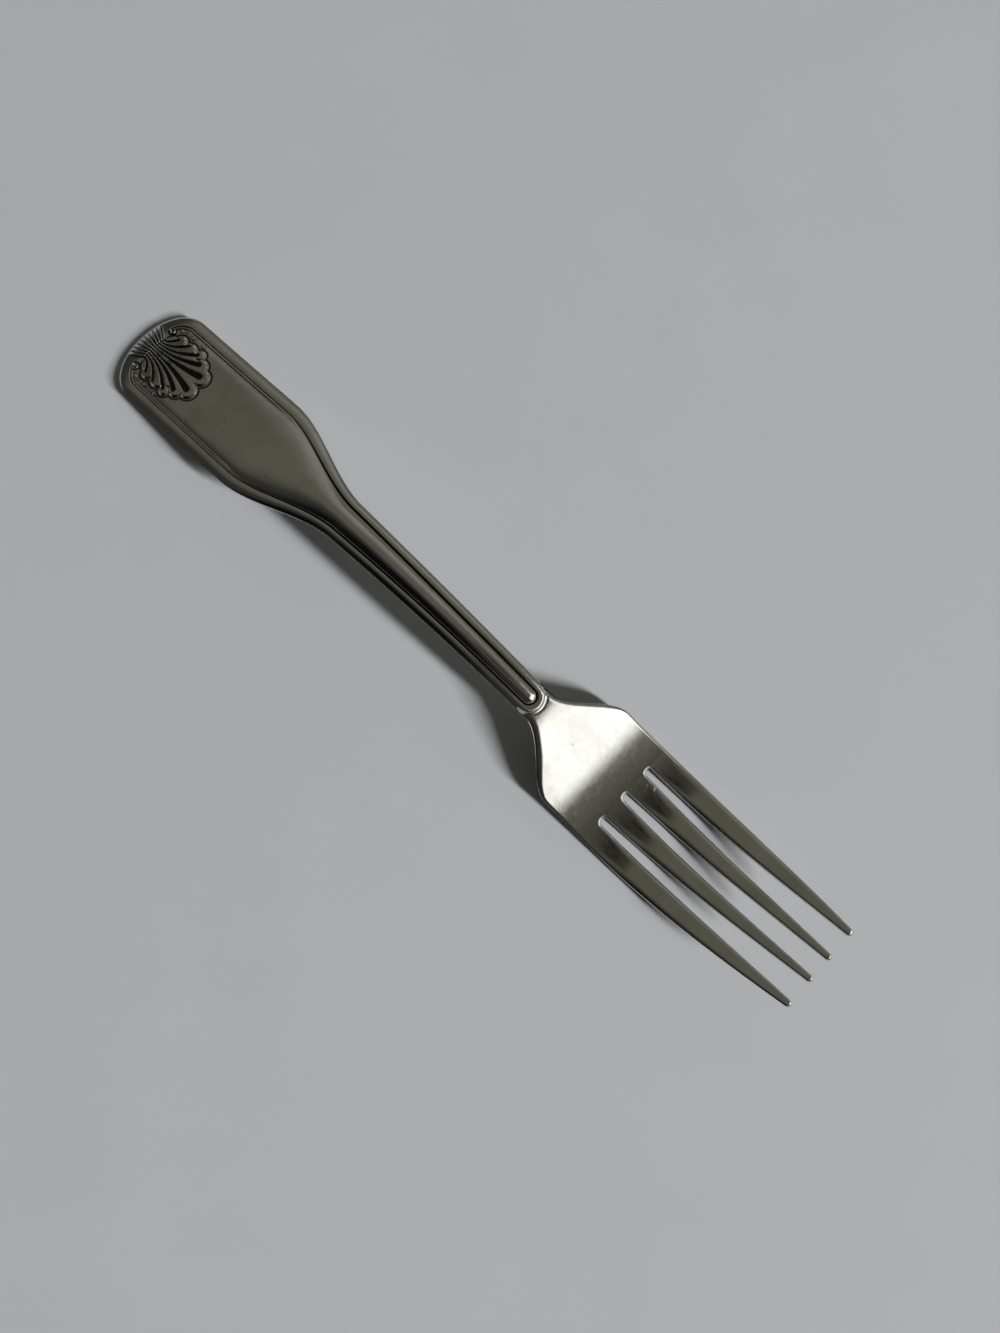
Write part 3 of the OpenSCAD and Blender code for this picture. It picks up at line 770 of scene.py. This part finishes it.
def blend(tree, amount, first, second):
    """A mix of a colour or a socket with a second colour.

    A Mix node has its colours in inputs 6 and 7 and in output 2.
    """
    made = add_node(tree, "ShaderNodeMix", {"data_type": "RGBA"}, {7: second}, {0: amount})
    if isinstance(first, bpy.types.NodeSocket):
        tree.links.new(first, made.inputs[6])
    else:
        made.inputs[6].default_value = first
    return made.outputs[2]


def stainless_steel(finish):
    """Stainless steel, stamped and tumble-polished, with years of wear.

    It gives the eye a warm grey mirror that is a little blurred: long fine scratches, a faint grain on the
    head, dull patches from handling, a few small dents, and the cuts darkened by grime together with painted
    shade.
    """
    material, tree, shader = new_material("tumble_polished_stainless_steel")
    shader.inputs["Metallic"].default_value = 1.0
    place = add_node(tree, "ShaderNodeTexCoord").outputs["Object"]
    # Dull patches, a few millimetres across
    dulled = fade(tree, noise(tree, place, finish.smudge, 4.0, 0.6), 0.35, 0.7)
    # Wear scratches in three directions. Real ones are a few hundredths of a millimetre wide, and
    # these are drawn coarser so that they show
    scratches = None
    across = 1 / finish.scratch_spacing
    for turn, weight in ((4, 1.0), (-33, 0.7), (52, 0.5)):
        laid = add_node(
            tree, "ShaderNodeMapping", values={
                "Rotation": (0, 0, math.radians(turn)), "Scale": (1 / finish.scratch_run, across, across)},
            links={"Vector": place}).outputs["Vector"]
        cut = fade(tree, noise(tree, laid, 1.0, 3.0, 0.65), 0.56, 0.74, 0.0, weight, "LINEAR")
        if scratches is None:
            scratches = cut
        else:
            scratches = add_node(
                tree, "ShaderNodeMath", {"operation": "MAXIMUM"},
                links={0: scratches, 1: cut}).outputs["Value"]
    # Small dents, a few to the palm
    dents = add_node(
        tree, "ShaderNodeTexVoronoi", values={"Scale": 1 / finish.ding_spacing, "Randomness": 1.0},
        links={"Vector": place})
    dent = fade(tree, dents.outputs["Distance"], 0.03, 0.075, 1.0, 0.0)
    # Where the face is cut, its colour darkens towards the bottom of the cut: partly grime, and partly
    # painted shade of the recesses
    cuts = add_node(tree, "ShaderNodeAttribute", {"attribute_name": "cut_depth"}).outputs["Fac"]
    colour = blend(tree, dulled, rgba(finish.bright), rgba(finish.dull))
    colour = blend(tree, cuts, colour, rgba(finish.tarnish))
    tree.links.new(colour, shader.inputs["Base Color"])
    # Scratches, and the grime in the cuts, add these shares to the roughness
    rough = fade(tree, dulled, 0.0, 1.0, finish.polish, finish.haze, "LINEAR")
    for amount, added in ((scratches, 0.05), (cuts, 0.25)):
        rough = add_node(
            tree, "ShaderNodeMath", {"operation": "MULTIPLY_ADD", "use_clamp": True}, {1: added},
            {0: amount, 2: rough}).outputs["Value"]
    tree.links.new(rough, shader.inputs["Roughness"])
    # The head's face is tumbled, and the handle's keeps more of the die's polish
    along = add_node(tree, "ShaderNodeSeparateXYZ", links={"Vector": place}).outputs["X"]
    tumbled = fade(tree, along, 18 * MM, 26 * MM, 0.2, 1.0, "LINEAR")
    normal = add_node(
        tree, "ShaderNodeBump", values={"Distance": finish.grain_depth},
        links={"Height": noise(tree, place, finish.grain, 2.0), "Strength": tumbled}).outputs["Normal"]
    for height, strength, depth in ((scratches, 0.5, finish.scratch_depth), (dent, 0.8, finish.ding_depth)):
        normal = add_node(
            tree, "ShaderNodeBump", {"invert": True}, {"Strength": strength, "Distance": depth},
            {"Height": height, "Normal": normal}).outputs["Normal"]
    tree.links.new(normal, shader.inputs["Normal"])
    return material


def painted_table(stage):
    """Matt painted board: a pale cool grey with a faint unevenness from the roller."""
    material, tree, shader = new_material("matt_painted_board")
    shader.inputs["Roughness"].default_value = 0.75
    shader.inputs["Specular IOR Level"].default_value = 0.2
    place = add_node(tree, "ShaderNodeTexCoord").outputs["Object"]
    roller_mark, least = 25 * MM, 0.96
    darker = tuple(least * c for c in stage.table)
    colour = blend(tree, noise(tree, place, roller_mark, 3.0), rgba(darker), rgba(stage.table))
    tree.links.new(colour, shader.inputs["Base Color"])
    return material


def mesh_object(name, bm, material):
    """A smooth-shaded mesh object at the origin."""
    for face in bm.faces:
        face.smooth = True
    mesh = bpy.data.meshes.new(name)
    bm.to_mesh(mesh)
    bm.free()
    mesh.materials.append(material)
    made = bpy.data.objects.new(name, mesh)
    bpy.context.scene.collection.objects.link(made)
    return made


class FORK_OT_blank(Operator):
    """Slits, thickens and strikes a flat blank into the fork"""
    bl_idname = "dinner_fork.strike_blank"
    bl_label = "Strike fork"
    bl_options = {"REGISTER", "UNDO"}

    def execute(self, context):
        settings = context.scene.dinner_fork
        form = ForkForm(settings)
        stations, shell_rows = form.stations()
        table = np.array([form.station(*s) for s in stations])
        rows, columns = len(stations) - 1, table.shape[2] - 2
        slot_row = next(i for i, (_, x) in enumerate(stations) if abs(x - form.slot_x) < SAME)

        # A flat half blank, one unit to a station and to a column
        bm = bmesh.new()
        flat = Matrix.Translation((rows / 2, columns / 2, 0)) @ Matrix.Diagonal((rows / 2, columns / 2, 1, 1))
        bmesh.ops.create_grid(bm, x_segments=rows, y_segments=columns, size=1, matrix=flat)
        slit = [
            e for e in bm.edges
            if all(abs(v.co.y - SLIT_COLUMN) < NEAR and v.co.x > slot_row - NEAR for v in e.verts)
        ]
        bmesh.ops.split_edges(bm, edges=slit)
        far_side = bm.verts.layers.int.new("far_side")
        for v in bm.verts:
            if abs(v.co.y - SLIT_COLUMN) < NEAR and v.co.x > slot_row + NEAR:
                v[far_side] = int(v.link_faces[0].calc_center_median().y > SLIT_COLUMN)
        raised = bmesh.ops.extrude_face_region(bm, geom=bm.faces[:])["geom"]
        bmesh.ops.translate(
            bm, verts=[v for v in raised if isinstance(v, bmesh.types.BMVert)], vec=(0, 0, 1))
        # The halves join along the axis, so no wall stands there
        on_axis = [
            f for f in bm.faces
            if all(v.co.x < NEAR for v in f.verts)
            or all(v.co.y < NEAR and v.co.x < slot_row + NEAR for v in f.verts)
        ]
        bmesh.ops.delete(bm, geom=on_axis, context="FACES")
        # The plain underside needs few columns, and the shell needs many
        kept = set(UNDERSIDE_COLUMNS) | set(range(len(SLOT_ROUND)))
        kept |= set(range(SLIT_COLUMN + 1 - len(SLOT_ROUND), SLIT_COLUMN + len(SLOT_ROUND)))
        kept |= set(range(columns + 1 - EDGE_COLUMNS, columns + 1))
        spare = [
            e for e in bm.edges
            if all(v.co.z < NEAR for v in e.verts)
            and abs(e.verts[0].co.y - e.verts[1].co.y) < NEAR and round(e.verts[0].co.y) not in kept
        ]
        bmesh.ops.dissolve_edges(bm, edges=spare, use_verts=True)
        fine = [
            e for e in bm.edges
            if all(v.co.z > NEAR and v.co.x < shell_rows - 1 + NEAR for v in e.verts)
            and all(v.co.y < PANEL_COLUMNS + NEAR for v in e.verts)
            and abs(e.verts[0].co.x - e.verts[1].co.x) < NEAR
        ]
        bmesh.ops.subdivide_edges(bm, edges=fine, cuts=SHELL_CUTS, use_grid_fill=True)

        # The strike: every point takes its place on the fork
        bm.verts.ensure_lookup_table()
        station = np.array([round(v.co.x) for v in bm.verts])
        column = np.array([v.co.y for v in bm.verts])
        upper = np.array([v.co.z > NEAR for v in bm.verts])
        low = np.floor(column + NEAR).astype(int)
        between = np.clip(column - low, 0, 1)
        high = np.minimum(low + 1, columns)
        over = np.array([v[far_side] for v in bm.verts]) == 1
        low[over] = columns + 1
        high[over] = columns + 1
        at = mix(table[station, :, low], table[station, :, high], between[:, None]).T
        points, cut = form.surface(at, upper)
        # Painted shade with grime: each cut's colour darkens towards its bottom
        cut_depth = bm.verts.layers.float.new("cut_depth")
        tarnish = clamp(cut / settings.finish.tarnish_depth) ** GRIME_AND_PAINTED_SHADE_POWER
        for v, point, depth in zip(bm.verts, points, tarnish):
            v.co = point
            v[cut_depth] = depth
        bm.verts.layers.int.remove(far_side)
        bmesh.ops.remove_doubles(bm, verts=bm.verts[:], dist=MERGE)
        bmesh.ops.mirror(
            bm, geom=bm.verts[:] + bm.edges[:] + bm.faces[:], axis="Y", merge_dist=MERGE)
        bmesh.ops.recalc_face_normals(bm, faces=bm.faces[:])
        for e in bm.edges:
            e.smooth = e.calc_face_angle(0) < CRISP
        open_edges = sum(not e.is_manifold for e in bm.edges)
        if open_edges:
            raise RuntimeError(f"the fork isn't closed: {open_edges} open edges")

        fork = mesh_object("dinner_fork", bm, stainless_steel(settings.finish))
        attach(fork, "root")
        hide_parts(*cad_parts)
        return {"FINISHED"}


class FORK_OT_stage(Operator):
    """Sets the pale table, the soft lights and the camera"""
    bl_idname = "dinner_fork.set_stage"
    bl_label = "Set stage"
    bl_options = {"REGISTER", "UNDO"}

    def execute(self, context):
        scene = context.scene
        stage = scene.dinner_fork.stage
        scene.view_settings.view_transform = "Standard"
        bm = bmesh.new()
        bmesh.ops.create_grid(bm, x_segments=8, y_segments=8, size=TABLE_REACH)
        mesh_object("table_top", bm, painted_table(stage))

        world = bpy.data.worlds.new("studio")
        world.use_nodes = True
        tree = world.node_tree
        tree.nodes.clear()
        towards = add_node(tree, "ShaderNodeTexCoord").outputs["Generated"]
        up = add_node(tree, "ShaderNodeSeparateXYZ", links={"Vector": towards}).outputs["Z"]
        # Layers of the room: a colour, the direction it is towards, how closely it is faced and how
        # high it is. The left side is lit and the right side shaded, with a dark patch in its middle,
        # the camera shades a patch overhead, a pale band lies at table level, and the room beyond the
        # handle is shaded
        sky = rgba(stage.overhead)
        for colour, direction, near, far, low, high in (
                (stage.lit_side, (-0.25, 0.97, 0), 0.35, 0.8, 0.4, 0.6),
                (stage.shaded_side, (0, 1, 0), 0.0, -0.35, 0.17, 0.28),
                (stage.dark_patch, (-0.15, -0.75, 0.645), 0.86, 0.97, -2, -1),
                (stage.dark_patch, (0.275, 0.1, 0.956), 0.985, 0.999, -2, -1),
                (stage.horizon, (0, 1, 0), -2, -1, 0.17, 0.11),
                (stage.shaded_side, (-1, 0, 0), 0.72, 0.9, -2, -1)):
            faced = add_node(
                tree, "ShaderNodeVectorMath", {"operation": "DOT_PRODUCT"}, {1: direction},
                {0: towards}).outputs["Value"]
            amount = add_node(
                tree, "ShaderNodeMath", {"operation": "MULTIPLY"},
                links={0: fade(tree, faced, near, far), 1: fade(tree, up, low, high)}).outputs["Value"]
            sky = blend(tree, amount, sky, rgba(colour))
        light = add_node(tree, "ShaderNodeBackground", links={"Color": sky})
        add_node(tree, "ShaderNodeOutputWorld", links={"Surface": light.outputs["Background"]})
        scene.world = world

        # The key gives the shadow, and the card is what the palm mirrors. Each is a bearing from +X,
        # a height above the table, a distance, a width and a depth
        for name, power, bearing, height, distance, width, depth, mirrored in (
                ("key_lamp", stage.key_power, 9, 36, 6.0, 0.45, 2.1, False),
                ("lit_card", stage.card_power, 24, 32, 0.6, 0.51, 0.415, True)):
            lamp = bpy.data.lights.new(name, "AREA")
            lamp.shape = "RECTANGLE"
            lamp.size, lamp.size_y = depth, width
            lamp.energy = power
            box = bpy.data.objects.new(name, lamp)
            round_table = Matrix.Rotation(math.radians(bearing), 4, "Z")
            tilt = Matrix.Rotation(math.radians(90 - height), 4, "Y")
            box.matrix_world = round_table @ tilt @ Matrix.Translation((0, 0, distance))
            box.visible_glossy = mirrored
            box.visible_diffuse = not mirrored
            scene.collection.objects.link(box)

        # The lens is as long as the sensor is wide, on a picture 1000 wide and 1333 high
        view = bpy.data.cameras.new("view")
        view.sensor_fit = "HORIZONTAL"
        view.sensor_width = SENSOR
        view.lens = SENSOR
        view.clip_start = 0.01
        camera = bpy.data.objects.new("view", view)
        camera.location = stage.camera_place
        camera.rotation_euler = stage.camera_turn
        scene.collection.objects.link(camera)
        scene.camera = camera
        return {"FINISHED"}


class FORK_PT_panel(Panel):
    """Sizes, finish and stage of the fork"""
    bl_idname = "FORK_PT_panel"
    bl_label = "Dinner fork"
    bl_space_type = "VIEW_3D"
    bl_region_type = "UI"
    bl_category = "Dinner Fork"

    def draw(self, context):
        settings = context.scene.dinner_fork
        for group in type(settings).__annotations__:
            box = self.layout.box()
            box.label(text=group.capitalize())
            values = getattr(settings, group)
            for name in type(values).__annotations__:
                box.prop(values, name)
        for operator in OPERATORS:
            self.layout.operator(operator.bl_idname)


OPERATORS = (FORK_OT_blank, FORK_OT_stage)
CLASSES = (
    HandleSizes, StemSizes, HeadSizes, TineSizes, ProfileSizes, BorderSizes, ShellSizes, SteelFinish,
    StageSettings, ForkSettings, *OPERATORS, FORK_PT_panel)


def register():
    for cls in CLASSES:
        bpy.utils.register_class(cls)
    bpy.types.Scene.dinner_fork = PointerProperty(type=ForkSettings)


def unregister():
    del bpy.types.Scene.dinner_fork
    for cls in reversed(CLASSES):
        bpy.utils.unregister_class(cls)


def main():
    register()
    bpy.ops.dinner_fork.strike_blank()
    bpy.ops.dinner_fork.set_stage()


if __name__ == "__main__":
    main()
